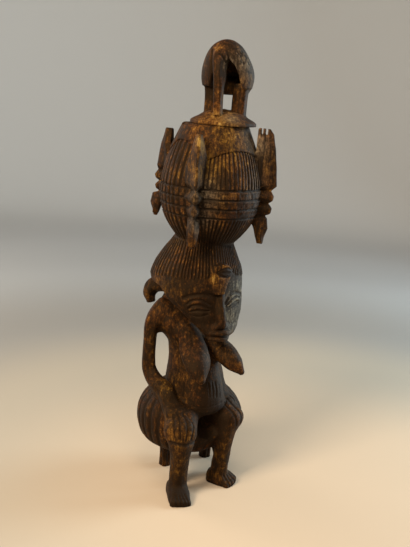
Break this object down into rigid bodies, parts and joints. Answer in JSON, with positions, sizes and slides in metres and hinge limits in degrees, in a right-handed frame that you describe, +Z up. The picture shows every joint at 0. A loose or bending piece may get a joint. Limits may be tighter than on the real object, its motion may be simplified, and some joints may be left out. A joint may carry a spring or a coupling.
{
  "type": "senufo seated figure",
  "caption": "Carved wooden figure of a seated woman on a round stool, carrying a lidded bowl on her head with a hornbill standing on the lid.",
  "frame": {"origin": "on the floor plane, under the middle of the whole work's outline", "axes": "+Z up, -Y the way the woman faces, +X her left"},
  "size_m": [0.1608, 0.1781, 0.62],
  "materials": {
    "carved_wood": "dark brown handled patina, semi-gloss, worn to ochre on the raised places",
    "lid_wood": "brown handled patina, satin, worn to ochre on the dome and the bird's head"
  },
  "bodies": {
    "root": {"seated_figure": "carved_wood", "bird_lid": "lid_wood"}
  },
  "joints": []
}
